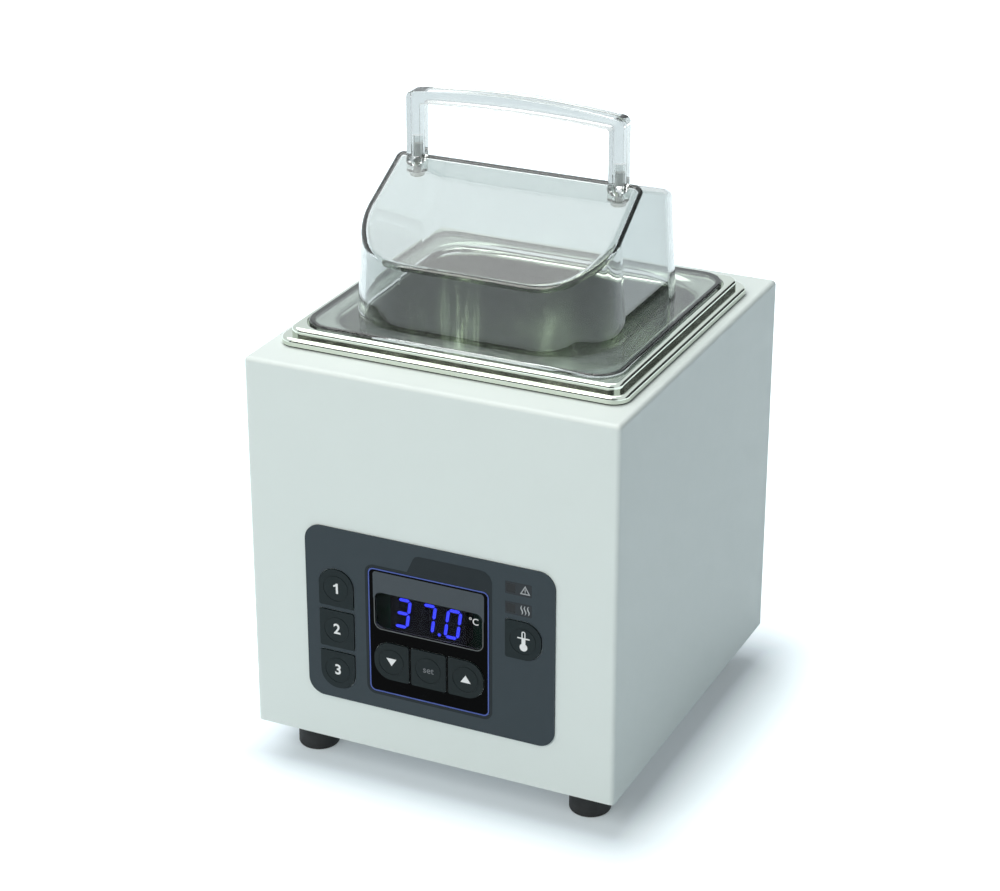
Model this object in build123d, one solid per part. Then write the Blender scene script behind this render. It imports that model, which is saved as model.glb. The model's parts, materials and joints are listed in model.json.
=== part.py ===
from build123d import *
import math
import os

# Laboratory water bath with a lift-off clear lid, in millimetres.
# +X is the user's right, +Y runs from the front panel to the rear, +Z is up.
# The origin is on the bench, under the middle of the whole object.

os.makedirs("parts", exist_ok=True)

# Case sizes
case_width = 183.0
case_depth = 194.8
case_height = 186.0
sheet = 1.2
case_edge_radius = 2.2
bottom_flange = 8.0
rear_flange = 12.0
hole_corner_radius = 26.0
hole_clearance = 2.0
cut_over = 1.0
thread_fit = 0.05
tab_thickness = 0.8
tab_width = 6.3
tab_length = 7.0

# Feet
foot_height = 18.5
foot_radius = 9.8
foot_inset_x = 20.5
foot_inset_y = 22.0
foot_edge_radius = 1.6

# Tank sizes
tank_sheet = 0.8
rim_side_margin = 6.5
rim_rear_margin = 21.0
rim_corner_radius = 8.0
rim_setback = 18.0
gasket_thickness = 0.8
gasket_inset = 0.8
gasket_band = 9.0
lower_tier_height = 3.4
rim_height = 7.2
upper_tier_inset = 4.0
rim_land = 3.0
tier_edge_radius = 1.8
land_edge_radius = 0.7
recess_depth = 2.0
recess_corner_radius = 14.0
ledge_width = 3.5
mouth_radius = 5.0
mouth_corner_radius = 24.0
tank_depth = 100.0
tank_taper = 3.0
tank_floor_radius = 14.0

# Lid sizes
lid_fit = 0.8
lid_thickness = 2.4
lid_lip = 1.2
lid_lip_band = 2.6
lid_edge_radius = 1.0
dome_side_margin = 12.2
dome_front_margin = 8.5
dome_rear_margin = 10.5
dome_corner_radius = 34.0
dome_draft = 3.5
dome_height = 64.0
dome_ridge_from_front = 58.5
skirt_height = 29.5
eave_height = 42.0
dome_edge_radius = 4.2
dome_spare = 4.0

# Handle sizes
handle_end_margin = 11.5
handle_post_width = 7.0
handle_post_depth = 10.0
handle_rise = 33.8
handle_crown = 4.1
handle_bar_end = 4.9
handle_bar_arch = 1.6
handle_corner_radius = 3.2
handle_edge_radius = 1.1
handle_screw_radius = 1.75
handle_screw_length = 14.0
handle_boss_radius = 5.0
handle_boss_drop = 9.0
handle_bore_depth = 9.0

# Front panel sizes
overlay_width = 125.0
overlay_height = 87.6
overlay_base = 22.5
overlay_corner_radius = 8.0
overlay_thickness = 0.8
panel_gap = 0.15
screen_width = 60.8
screen_height = 63.4
screen_base = 31.1
screen_corner_radius = 3.0
window_width = 54.2
window_height = 18.5
window_base = 64.1
window_corner_radius = 3.4
lens_thickness = 1.6

# Keys
key_width = 17.6
key_height = 18.8
key_corner_radius = 1.0
key_round_radius = 8.4
key_rise = 0.5
key_travel = 0.4
key_spare = 0.05
key_gap = 0.3
key_ring_radius = 6.3
key_ring_width = 0.5
key_ring_depth = 0.15
key_stem_radius = 2.5
key_stem_gap = 0.5
preset_key_x = -46.8
preset_key_base = 37.5
preset_key_pitch = 21.2
screen_key_pitch = 18.8
screen_key_base = 48.2
sensor_key_x = 47.3
sensor_key_base = 74.2

# Indicator lamps
lamp_size = 4.2
lamp_x = 41.0
lamp_base = 89.5
lamp_pitch = 9.9
lamp_gap = 0.3

# Control board and display
board_width = 116.0
board_height = 81.0
board_thickness = 1.6
board_gap = 8.3
board_hole_inset = 4.5
board_spacer_radius = 3.0
board_screw_radius = 1.4
board_stud_spare = 4.0
board_nut_radius = 3.2
board_nut_height = 2.4
chip_size = 14.0
chip_height = 2.4
chip_x = -20.0
ribbon_socket_width = 40.0
ribbon_socket_height = 9.0
ribbon_socket_depth = 8.0
display_width = 37.7
display_height = 19.8
display_depth = 8.0
display_x = -1.25
digit_pitch = 12.7
digit_width = 7.6
digit_height = 15.2
digit_slant = 8.0
segment_width = 1.5
segment_gap = 0.35
segment_thickness = 0.15
dot_inset = 0.6
switch_body = 6.0
switch_height = 3.5
switch_button_radius = 1.7
switch_button_height = 1.5

# Heater stack
heater_width = 100.0
heater_depth = 86.0
heater_thickness = 1.8
heater_corner_radius = 6.0
clamp_plate_thickness = 2.0
tank_stud_radius = 2.0
tank_stud_length = 9.0
stud_inset_x = 8.0
stud_inset_y = 8.0
cutout_radius = 8.0
cutout_height = 9.0
cutout_flange = 24.0
cutout_x = 18.0
cutout_tab_pitch = 8.0
probe_radius = 2.5
probe_length = 34.0
probe_x = -14.0
probe_gap = 0.05
clip_width = 10.0
clip_ear = 8.0
clip_wall = 0.8
clip_gap = 0.1
jacket_thickness = 6.0
jacket_gap = 0.5
jacket_height = 62.0
jacket_drop = 12.0

# Rim studs
rim_stud_radius = 2.0
rim_stud_drop = 9.0
rim_stud_inset = 6.5
rim_stud_pitch = 100.0
nut_radius = 3.9
nut_height = 3.2
washer_radius = 4.6
washer_height = 0.8

# Rear fittings
inlet_side_margin = 41.5
inlet_base = 16.0
inlet_flange_width = 31.0
inlet_flange_height = 48.0
inlet_flange_thickness = 2.5
inlet_body_width = 27.5
inlet_body_height = 44.0
inlet_body_depth = 24.0
inlet_corner_radius = 2.0
inlet_edge_radius = 0.8
socket_width = 24.0
socket_height = 16.0
socket_corner_radius = 2.0
socket_depth = 17.0
socket_lift = 4.0
pin_width = 2.0
pin_height = 4.0
pin_length = 12.0
pin_pitch = 14.0
pin_stagger = 2.0
drawer_width = 23.0
drawer_height = 10.0
drawer_depth = 19.0
drawer_gap = 0.3
drawer_lip = 1.5
drawer_lift = 28.0
drawer_wall = 2.0
drawer_notch = 8.0
drawer_edge_radius = 0.6
fuse_radius = 2.5
fuse_length = 20.0
rocker_pitch = 38.0
rocker_base = 40.0
bezel_width = 19.0
bezel_height = 27.0
bezel_thickness = 2.0
bezel_depth = 18.0
bezel_lip = 2.0
bezel_corner_radius = 1.5
bezel_edge_radius = 0.7
rocker_radius = 9.8
rocker_width = 12.0
rocker_gap = 0.3
rocker_pivot_depth = 3.0
rocker_edge_rise = 2.8
rocker_middle_rise = 1.2
rocker_floor = 3.5
rocker_tilt = 10.0
rocker_pin_radius = 1.2
rocker_room = 2.6
rocker_overlap = 2.0
switch_tab_pitch = 8.0
vent_width = 3.0
vent_height = 22.0
vent_pitch = 8.0
vent_count = 8
vent_side_margin = 43.5
vent_base = 96.0
vent_row_gap = 6.0
base_slot_count = 7
base_slot_length = 24.0
base_fit = 0.3
panel_inset = 1.5

# Power board
power_board_width = 118.0
power_board_depth = 84.0
power_spacer_height = 6.0
power_spacer_radius = 3.0
power_board_setback = 16.0
power_head_radius = 2.6
power_head_height = 1.8
transformer_width = 44.0
transformer_depth = 36.0
transformer_height = 32.0
transformer_x = -30.0
transformer_shift = 8.0
transformer_edge_radius = 2.0
relay_width = 19.0
relay_depth = 15.5
relay_height = 16.0
relay_x = 14.0
relay_shift = 14.0
terminal_width = 30.0
terminal_depth = 9.0
terminal_height = 11.0
terminal_x = 12.0
terminal_count = 5
terminal_pitch = 5.6
terminal_hole_radius = 1.9
terminal_hole_depth = 3.0

# Screws
screw_radius = 1.5
screw_head_radius = 2.8
screw_head_height = 1.8
screw_length = 7.0
screw_clearance = 0.15
foot_screw_radius = 2.0
foot_screw_head_radius = 3.6
foot_screw_head_height = 2.6
foot_counterbore_radius = 4.6
foot_counterbore_depth = 8.0
earth_stud_radius = 2.0
earth_stud_height = 12.0
earth_x = -50.0
earth_setback = 24.0

# Levels and stations worked out from the sizes above
front_proud = overlay_thickness + key_rise
rear_proud = inlet_flange_thickness + drawer_lip
front_y = -(case_depth + front_proud + rear_proud) / 2 + front_proud
rear_y = front_y + case_depth
shell_rear_y = rear_y - sheet
shell_middle_y = (front_y + shell_rear_y) / 2
case_base = foot_height
case_top = case_base + case_height
inner_x = case_width / 2 - sheet
rim_width = case_width - 2 * rim_side_margin
rim_depth = case_depth - rim_setback - rim_rear_margin
inlet_x = case_width / 2 - inlet_side_margin
rocker_x = inlet_x - rocker_pitch
vent_x = vent_side_margin - case_width / 2
rim_y = front_y + rim_setback + rim_depth / 2
rim_base = case_top + gasket_thickness
rim_top = rim_base + rim_height
ledge_z = rim_top - recess_depth
recess_inset = upper_tier_inset + rim_land
mouth_inset = recess_inset + ledge_width + mouth_radius
mouth_width = rim_width - 2 * mouth_inset
mouth_depth = rim_depth - 2 * mouth_inset
tank_floor_z = ledge_z - tank_depth
tank_under_z = tank_floor_z - tank_sheet
lid_width = rim_width - 2 * (recess_inset + lid_fit)
lid_depth = rim_depth - 2 * (recess_inset + lid_fit)
dome_width = lid_width - 2 * dome_side_margin
handle_width = dome_width - 2 * handle_end_margin
lid_top = ledge_z + lid_lip + lid_thickness
lid_front_y = rim_y - lid_depth / 2
dome_front_y = lid_front_y + dome_front_margin
dome_rear_y = lid_front_y + lid_depth - dome_rear_margin
dome_y = (dome_front_y + dome_rear_y) / 2
dome_depth = dome_rear_y - dome_front_y
ridge_y = dome_front_y + dome_ridge_from_front
ridge_z = lid_top + dome_height
handle_top = ridge_z + handle_rise
board_front_y = front_y + sheet + board_gap
board_base = case_base + overlay_base + (overlay_height - board_height) / 2
display_z = case_base + window_base + window_height / 2
rear_inner_y = shell_rear_y - sheet
floor_top = case_base + 2 * sheet
earth_y = rear_y - earth_setback


def block(x, y, z, width, depth, height):
    """A box centred on x and y that stands on z."""
    return Pos(x, y, z + height / 2) * Box(width, depth, height)


def slab(x, y, z, width, depth, height, radius, taper=0.0):
    """A rounded-corner plate centred on x and y that stands on z."""
    outline = Plane(origin=(x, y, z)) * RectangleRounded(width, depth, radius)
    return extrude(outline, amount=height, taper=taper)


def post(x, y, z, radius, height):
    """A round post that stands on z."""
    return Pos(x, y, z + height / 2) * Cylinder(radius, height)


def facing(x, z, y, sketch, thickness):
    """A sketch on a wall that faces the user, raised towards the user from y."""
    wall = Plane(origin=(x, y, z), x_dir=(1, 0, 0), z_dir=(0, -1, 0))
    return extrude(wall * sketch, amount=thickness)


def rod(x, z, y, radius, length):
    """A round rod from y towards the rear."""
    return facing(x, z, y + length, Circle(radius), length)


def four(half_x, half_y, x=0.0, y=0.0):
    """The four corners of a rectangle."""
    return [(x + sx * half_x, y + sy * half_y) for sx in (-1, 1) for sy in (-1, 1)]


def group(solids):
    """Separate like solids kept in one piece."""
    return Compound(children=list(solids))


foot_places = {
    "front_left": (-1, -1),
    "front_right": (1, -1),
    "rear_left": (-1, 1),
    "rear_right": (1, 1),
}
foot_x = case_width / 2 - foot_inset_x
foot_half_y = case_depth / 2 - foot_inset_y
foot_y = (front_y + rear_y) / 2
foot_spots = {name: (sx * foot_x, foot_y + sy * foot_half_y) for name, (sx, sy) in foot_places.items()}
rim_stud_x = rim_width / 2 - rim_stud_inset
rim_stud_spots = four(rim_stud_x, rim_stud_pitch / 2, y=rim_y)
heater_stud_spots = four(heater_width / 2 - stud_inset_x, heater_depth / 2 - stud_inset_y, y=rim_y)
base_screw_half_x = case_width / 2 - bottom_flange / 2 - sheet / 2
base_screw_half_y = (case_depth - sheet) / 2 - 2 * foot_inset_y
base_screw_spots = four(base_screw_half_x, base_screw_half_y, y=shell_middle_y)
rear_screw_half_x = case_width / 2 - rear_flange / 2 - sheet / 2
rear_screw_half_z = case_height / 2 - rear_flange
rear_screw_spots = four(rear_screw_half_x, rear_screw_half_z, y=case_base + case_height / 2)
board_spots = four(
    board_width / 2 - board_hole_inset,
    board_height / 2 - board_hole_inset,
    y=board_base + board_height / 2,
)
power_y = front_y + sheet + board_gap + board_thickness + power_board_setback + power_board_depth / 2
power_base = floor_top + power_spacer_height
power_spots = four(
    power_board_width / 2 - board_hole_inset,
    power_board_depth / 2 - board_hole_inset,
    y=power_y,
)

# Each key: its place on the panel and the side on which its outline is round
key_layout = {
    "key_preset_1": (preset_key_x, preset_key_base + 2 * preset_key_pitch, "top"),
    "key_preset_2": (preset_key_x, preset_key_base + preset_key_pitch, "none"),
    "key_preset_3": (preset_key_x, preset_key_base, "bottom"),
    "key_down": (-screen_key_pitch, screen_key_base, "left"),
    "key_set": (0.0, screen_key_base, "none"),
    "key_up": (screen_key_pitch, screen_key_base, "right"),
    "key_sensor": (sensor_key_x, sensor_key_base, "right"),
}
round_corners = {
    "none": [],
    "top": [(-1, 1), (1, 1)],
    "bottom": [(-1, -1), (1, -1)],
    "left": [(-1, -1), (-1, 1)],
    "right": [(1, -1), (1, 1)],
}
lamp_spots = {
    "alarm_lamp": (lamp_x, lamp_base + lamp_pitch),
    "heating_lamp": (lamp_x, lamp_base),
}


def corner_signs(corner):
    """Which of the four corners of a key this is."""
    return (int(math.copysign(1, corner.X)), int(math.copysign(1, corner.Y)))


def key_outline(side, grow=0.0):
    """A key's outline: square, with two of its corners rounded to an arch."""
    half_w = key_width / 2
    half_h = key_height / 2
    sketch = Rectangle(key_width, key_height)
    arched = [v for v in sketch.vertices() if corner_signs(v) in round_corners[side]]
    if arched:
        sketch = fillet(arched, min(key_round_radius, half_w - cut_over / 8, half_h - cut_over / 8))
    plain = [v for v in sketch.vertices() if abs(v.X) + abs(v.Y) > half_w + half_h - thread_fit]
    sketch = fillet(plain, key_corner_radius)
    if grow:
        sketch = offset(sketch, amount=grow, kind=Kind.ARC)
    return sketch


def make_casing():
    """Folded and painted sheet: front, sides, top, and the turned-in flanges."""
    depth = case_depth - sheet
    outer = block(0, shell_middle_y, case_base, case_width, depth, case_height)
    soft = outer.edges().filter_by(Axis.Z) + outer.faces().sort_by(Axis.Z)[-1].edges()
    outer = fillet(soft, case_edge_radius)
    inner = block(0, shell_middle_y, case_base + sheet, 2 * inner_x, depth - 2 * sheet,
                  case_height - 2 * sheet)
    shell = outer - inner
    shell -= block(0, shell_middle_y, case_base - 1, case_width - 2 * bottom_flange,
                   depth - 2 * bottom_flange, sheet + 2)
    shell -= block(0, shell_rear_y, case_base + rear_flange, case_width - 2 * rear_flange,
                   4 * sheet, case_height - 2 * rear_flange)
    shell -= slab(0, rim_y, case_top - 2 * sheet, mouth_width + 2 * (tank_sheet + hole_clearance),
                  mouth_depth + 2 * (tank_sheet + hole_clearance), 4 * sheet, hole_corner_radius)
    for x, y in rim_stud_spots:
        shell -= post(x, y, case_top - 2 * sheet, rim_stud_radius + 2 * screw_clearance, 4 * sheet)
    for x, y in base_screw_spots:
        shell -= post(x, y, case_base - 1, screw_radius + screw_clearance, sheet + 2)
    for x, z in rear_screw_spots:
        shell -= rod(x, z, rear_inner_y - 1, screw_radius + screw_clearance, sheet + 2)
    window = RectangleRounded(window_width + 2 * panel_gap, window_height + 2 * panel_gap,
                              window_corner_radius + panel_gap)
    shell -= facing(0, display_z, front_y + 2 * sheet, window, 3 * sheet)
    for x, z, side in key_layout.values():
        shell -= rod(x, case_base + z, front_y - 1, key_stem_radius + 2 * screw_clearance, sheet + 2)
    for x, z in lamp_spots.values():
        opening = Rectangle(lamp_size + 2 * lamp_gap, lamp_size + 2 * lamp_gap)
        shell -= facing(x, case_base + z, front_y + 2 * sheet, opening, 3 * sheet)
    for x, z in board_spots:
        shell += rod(x, z, front_y + sheet, board_screw_radius,
                     board_gap + board_thickness + board_stud_spare)
    return shell


def make_rear_panel():
    """Painted cover that closes the back, cut for the inlet, the switch and the vents."""
    outline = RectangleRounded(case_width - 2 * panel_inset, case_height - 2 * panel_inset, case_edge_radius)
    panel = facing(0, case_base + case_height / 2, rear_y, outline, sheet)
    inlet_z = case_base + inlet_base + inlet_flange_height / 2
    panel -= block(inlet_x, rear_y, inlet_z - inlet_body_height / 2 - panel_gap,
                   inlet_body_width + 2 * panel_gap, 4 * sheet, inlet_body_height + 2 * panel_gap)
    rocker_z = case_base + rocker_base
    hole_width = bezel_width + 2 * (panel_gap - bezel_lip)
    hole_height = bezel_height + 2 * (panel_gap - bezel_lip)
    panel -= block(rocker_x, rear_y, rocker_z - hole_height / 2, hole_width, 4 * sheet, hole_height)
    for row in (0, 1):
        for number in range(vent_count):
            x = vent_x + (number - (vent_count - 1) / 2) * vent_pitch
            z = case_base + vent_base - row * (vent_height + vent_row_gap)
            panel -= facing(x, z, rear_y + 1, SlotOverall(vent_height, vent_width, rotation=90), sheet + 2)
    for x, z in rear_screw_spots:
        panel -= rod(x, z, rear_y - sheet - 1, screw_radius + screw_clearance, sheet + 2)
    return panel


def make_base_plate():
    """Galvanised plate inside the bottom flanges: carries the feet and the power board."""
    margin = sheet + base_fit
    plate = block(0, shell_middle_y, case_base + sheet, case_width - 2 * margin,
                  case_depth - sheet - 2 * margin, sheet)
    for x, y in list(foot_spots.values()):
        plate -= post(x, y, case_base, foot_screw_radius + screw_clearance, 4 * sheet)
    for x, y in base_screw_spots:
        plate -= post(x, y, case_base, screw_radius + screw_clearance / 3, 4 * sheet)
    for x, y in power_spots:
        plate -= post(x, y, case_base, board_screw_radius + screw_clearance, 4 * sheet)
    for number in range(base_slot_count):
        x = (number - (base_slot_count - 1) / 2) * vent_pitch
        place = Plane(origin=(x, foot_y + foot_half_y, case_base))
        slot = place * SlotOverall(base_slot_length, vent_width, rotation=90)
        plate -= extrude(slot, amount=4 * sheet)
    plate += post(earth_x, earth_y, floor_top, earth_stud_radius, earth_stud_height)
    return plate


def make_foot(name):
    """Moulded rubber foot with a counterbore for its screw."""
    x, y = foot_spots[name]
    height = foot_height + sheet
    foot = post(x, y, 0, foot_radius, height)
    foot = fillet(foot.faces().sort_by(Axis.Z)[0].edges(), foot_edge_radius)
    foot -= post(x, y, -1, foot_counterbore_radius, foot_counterbore_depth + 1)
    foot -= post(x, y, 0, foot_screw_radius + screw_clearance, height + 1)
    return foot


def screw_up(x, y, z, radius, head_radius, head_height, length):
    """A screw whose head lies under z and whose shank points up."""
    head = post(x, y, z - head_height, head_radius, head_height)
    head = chamfer(head.faces().sort_by(Axis.Z)[0].edges(), head_height / 4)
    head -= post(x, y, z - head_height, head_radius / 2.5, head_height / 2)
    return head + post(x, y, z, radius, length)


def nut_at(x, y, z, radius, bore, height):
    """A hexagon nut that stands on z."""
    nut = extrude(Plane(origin=(x, y, z)) * RegularPolygon(radius, 6), amount=height)
    return nut - post(x, y, z - 1, bore, height + 2)


def level_edges(shape, z, width, depth):
    """The edges at one level that lie within a rectangle about the tank's axis."""
    found = []
    for edge in shape.edges():
        low = edge.bounding_box().min
        high = edge.bounding_box().max
        level = abs(low.Z - z) < 0.01 and abs(high.Z - z) < 0.01
        within_x = high.X < width / 2 + 0.1 and low.X > -width / 2 - 0.1
        within_y = high.Y < rim_y + depth / 2 + 0.1 and low.Y > rim_y - depth / 2 - 0.1
        if level and within_x and within_y:
            found.append(edge)
    return found


def tier_hollow(width, depth, height, corner_radius):
    """The space under one step of the rim, one sheet inside it all round."""
    space = slab(0, rim_y, rim_base - 1, width - 2 * tank_sheet, depth - 2 * tank_sheet,
                 height - tank_sheet + 1, corner_radius - tank_sheet)
    return fillet(space.faces().sort_by(Axis.Z)[-1].edges(), tier_edge_radius - tank_sheet)


def make_tank():
    """Pressed stainless pan with a two-step rim, welded studs under its rim and floor."""
    lower = slab(0, rim_y, rim_base, rim_width, rim_depth, lower_tier_height, rim_corner_radius)
    lower = fillet(lower.faces().sort_by(Axis.Z)[-1].edges(), tier_edge_radius)
    upper_width = rim_width - 2 * upper_tier_inset
    upper_depth = rim_depth - 2 * upper_tier_inset
    upper_radius = rim_corner_radius - upper_tier_inset / 2
    upper = slab(0, rim_y, rim_base, upper_width, upper_depth, rim_height, upper_radius)
    upper = fillet(upper.faces().sort_by(Axis.Z)[-1].edges(), tier_edge_radius)
    recess_width = rim_width - 2 * recess_inset
    recess_span = rim_depth - 2 * recess_inset
    rim = lower + upper
    rim -= slab(0, rim_y, ledge_z, recess_width, recess_span, rim_height, recess_corner_radius)
    rim = fillet(level_edges(rim, rim_top, recess_width, recess_span), land_edge_radius)
    hollow = tier_hollow(rim_width, rim_depth, lower_tier_height, rim_corner_radius)
    hollow += tier_hollow(upper_width, upper_depth, rim_height, upper_radius)
    hollow -= slab(0, rim_y, ledge_z - tank_sheet, recess_width + 2 * tank_sheet,
                   recess_span + 2 * tank_sheet, rim_height, recess_corner_radius + tank_sheet)
    pan_width = mouth_width + 2 * tank_sheet
    pan_depth = mouth_depth + 2 * tank_sheet
    pan_radius = mouth_corner_radius + tank_sheet
    hollow -= slab(0, rim_y, rim_base - 2, pan_width, pan_depth, rim_height + 4, pan_radius)
    under_ledge = ledge_z - tank_sheet
    neck = level_edges(hollow, under_ledge, pan_width, pan_depth)
    hollow = fillet(neck, mouth_radius - tank_sheet)
    pan = slab(0, rim_y, ledge_z, pan_width, pan_depth, -(tank_depth + tank_sheet), pan_radius, tank_taper)
    pan = fillet(pan.faces().sort_by(Axis.Z)[0].edges(), tank_floor_radius + tank_sheet)
    tank = rim + pan
    cavity = slab(0, rim_y, ledge_z, mouth_width, mouth_depth, -tank_depth, mouth_corner_radius, tank_taper)
    cavity = fillet(cavity.faces().sort_by(Axis.Z)[0].edges(), tank_floor_radius)
    tank -= cavity
    tank = fillet(level_edges(tank, ledge_z, mouth_width, mouth_depth), mouth_radius)
    tank -= hollow
    for x, y in rim_stud_spots:
        low = case_top - rim_stud_drop
        tank += post(x, y, low, rim_stud_radius, ledge_z - tank_sheet / 2 - low)
    for x, y in heater_stud_spots:
        low = tank_under_z - tank_stud_length
        tank += post(x, y, low, tank_stud_radius, tank_floor_z - tank_sheet / 2 - low)
    return tank


def make_gasket():
    """Silicone strip between the rim and the top of the case."""
    width = rim_width - 2 * gasket_inset
    depth = rim_depth - 2 * gasket_inset
    strip = slab(0, rim_y, case_top, width, depth, gasket_thickness, rim_corner_radius - gasket_inset)
    strip -= slab(0, rim_y, case_top - 1, width - 2 * gasket_band, depth - 2 * gasket_band,
                  gasket_thickness + 2, rim_corner_radius)
    for x, y in rim_stud_spots:
        strip -= post(x, y, case_top - 1, rim_stud_radius + screw_clearance, gasket_thickness + 2)
    return strip


def make_jacket():
    """Foam sleeve round the tank walls."""
    top = case_top - jacket_drop
    shrink = 2 * math.tan(math.radians(tank_taper)) * (ledge_z - top)
    width = mouth_width + 2 * (tank_sheet + jacket_gap) - shrink
    depth = mouth_depth + 2 * (tank_sheet + jacket_gap) - shrink
    bore = slab(0, rim_y, top, width, depth, -jacket_height, mouth_corner_radius, tank_taper)
    body = slab(0, rim_y, top, width + 2 * jacket_thickness, depth + 2 * jacket_thickness,
                -jacket_height, mouth_corner_radius + jacket_thickness)
    return body - bore


def make_heater():
    """Etched-foil silicone heater pressed against the tank floor."""
    pad = slab(0, rim_y, tank_under_z, heater_width, heater_depth, -heater_thickness, heater_corner_radius)
    for x, y in heater_stud_spots:
        pad -= post(x, y, tank_under_z - 3 * heater_thickness, tank_stud_radius + screw_clearance,
                    4 * heater_thickness)
    return pad


def make_clamp_plate():
    """Aluminium plate that clamps the heater to the tank floor."""
    top = tank_under_z - heater_thickness
    plate = slab(0, rim_y, top, heater_width, heater_depth, -clamp_plate_thickness, heater_corner_radius)
    for x, y in heater_stud_spots:
        plate -= post(x, y, top - 2 * clamp_plate_thickness, tank_stud_radius + screw_clearance,
                      4 * clamp_plate_thickness)
    return plate


clamp_under_z = tank_under_z - heater_thickness - clamp_plate_thickness


def make_heater_nuts():
    low = clamp_under_z - nut_height
    return group(nut_at(x, y, low, nut_radius, tank_stud_radius + thread_fit, nut_height)
                 for x, y in heater_stud_spots)


def make_rim_nuts():
    """Flange nuts that pull the rim down on the case top."""
    nuts = []
    low = case_top - sheet - washer_height
    for x, y in rim_stud_spots:
        nut = post(x, y, low, washer_radius, washer_height)
        nut -= post(x, y, low - cut_over, rim_stud_radius + thread_fit, washer_height + 2 * cut_over)
        nut += nut_at(x, y, low - nut_height, nut_radius, rim_stud_radius + thread_fit, nut_height)
        nuts.append(nut)
    return group(nuts)


def make_cutout():
    """Bimetal over-temperature cut-out under the clamp plate."""
    y = rim_y + heater_depth / 4
    low = clamp_under_z - cutout_height
    body = post(cutout_x, y, low, cutout_radius, cutout_height)
    body += block(cutout_x, y, clamp_under_z - sheet, cutout_flange, cutout_radius, sheet)
    for side in (-1, 1):
        x = cutout_x + side * cutout_tab_pitch / 2
        body += block(x, y, low - tab_length, tab_thickness, tab_width, tab_length + cut_over)
    return body


def make_probe():
    """Stainless temperature probe that lies against the clamp plate."""
    y = rim_y - heater_depth / 4
    z = clamp_under_z - probe_radius - probe_gap
    return Pos(probe_x, y, z) * Rot(0, 90, 0) * Cylinder(probe_radius, probe_length)


def make_probe_clip():
    """Bent saddle that holds the probe."""
    y = rim_y - heater_depth / 4
    half = probe_radius + clip_gap + clip_wall
    low = clamp_under_z - 2 * half
    inner = 2 * (half - clip_wall)
    saddle = block(probe_x, y, low, clip_width, 2 * half, 2 * half)
    saddle -= block(probe_x, y, low + clip_wall, clip_width + 2 * cut_over, inner, 2 * half)
    for side in (-1, 1):
        ear_y = y + side * (half + clip_ear / 2 - clip_wall)
        saddle += block(probe_x, ear_y, clamp_under_z - clip_wall, clip_width, clip_ear, clip_wall)
    return saddle


def make_overlay():
    """Printed membrane on the front of the case, cut for the screen, keys and lamps."""
    z = case_base + overlay_base + overlay_height / 2
    panel = facing(0, z, front_y, RectangleRounded(overlay_width, overlay_height, overlay_corner_radius),
                   overlay_thickness)
    reach = 3 * overlay_thickness
    screen_z = case_base + screen_base + screen_height / 2
    opening = RectangleRounded(screen_width + 2 * panel_gap, screen_height + 2 * panel_gap,
                               screen_corner_radius + panel_gap)
    panel -= facing(0, screen_z, front_y + overlay_thickness, opening, reach)
    for name, (x, key_z, side) in key_layout.items():
        if abs(x) > screen_width / 2:
            panel -= facing(x, case_base + key_z, front_y + overlay_thickness,
                            key_outline(side, key_gap), reach)
    for x, lamp_z in lamp_spots.values():
        panel -= facing(x, case_base + lamp_z, front_y + overlay_thickness,
                        Rectangle(lamp_size + 2 * panel_gap, lamp_size + 2 * panel_gap), reach)
    return panel


def make_screen():
    """Gloss black screen panel with the window and the three setting keys."""
    z = case_base + screen_base + screen_height / 2
    panel = facing(0, z, front_y, RectangleRounded(screen_width, screen_height, screen_corner_radius),
                   overlay_thickness)
    reach = 3 * overlay_thickness
    opening = RectangleRounded(window_width + 2 * panel_gap, window_height + 2 * panel_gap,
                               window_corner_radius + panel_gap)
    panel -= facing(0, display_z, front_y + overlay_thickness, opening, reach)
    for x, key_z, side in key_layout.values():
        if abs(x) < screen_width / 2:
            panel -= facing(x, case_base + key_z, front_y + overlay_thickness,
                            key_outline(side, key_gap), reach)
    return panel


def make_window():
    """Tinted lens over the digits."""
    outline = RectangleRounded(window_width, window_height, window_corner_radius)
    return facing(0, display_z, front_y - overlay_thickness + lens_thickness, outline, lens_thickness)


def make_key(name):
    """A key cap with a thumb ring, and the stem that reaches its switch."""
    x, key_z, side = key_layout[name]
    z = case_base + key_z
    back = front_y - key_travel - key_spare
    cap_thickness = front_proud - key_travel - key_spare
    cap = facing(x, z, back, key_outline(side), cap_thickness)
    ring = Circle(key_ring_radius + key_ring_width / 2) - Circle(key_ring_radius - key_ring_width / 2)
    cap -= facing(x, z, front_y - front_proud + key_ring_depth, ring, 2 * key_ring_depth)
    switch_top = board_front_y - switch_height - switch_button_height
    return cap + rod(x, z, back, key_stem_radius, switch_top - key_stem_gap - back)


def make_key_switches():
    """Tactile switches on the board, one behind each key."""
    switches = []
    for x, key_z, side in key_layout.values():
        z = case_base + key_z
        body = facing(x, z, board_front_y, Rectangle(switch_body, switch_body), switch_height)
        switches.append(body + rod(x, z, board_front_y - switch_height - switch_button_height,
                                   switch_button_radius, switch_button_height))
    return group(switches)


def make_lamp(name):
    """A light guide that shows an indicator lamp through the panel."""
    x, lamp_z = lamp_spots[name]
    face_y = front_y - overlay_thickness
    guide = facing(x, case_base + lamp_z, board_front_y, Rectangle(lamp_size, lamp_size),
                   board_front_y - face_y)
    return guide


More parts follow.
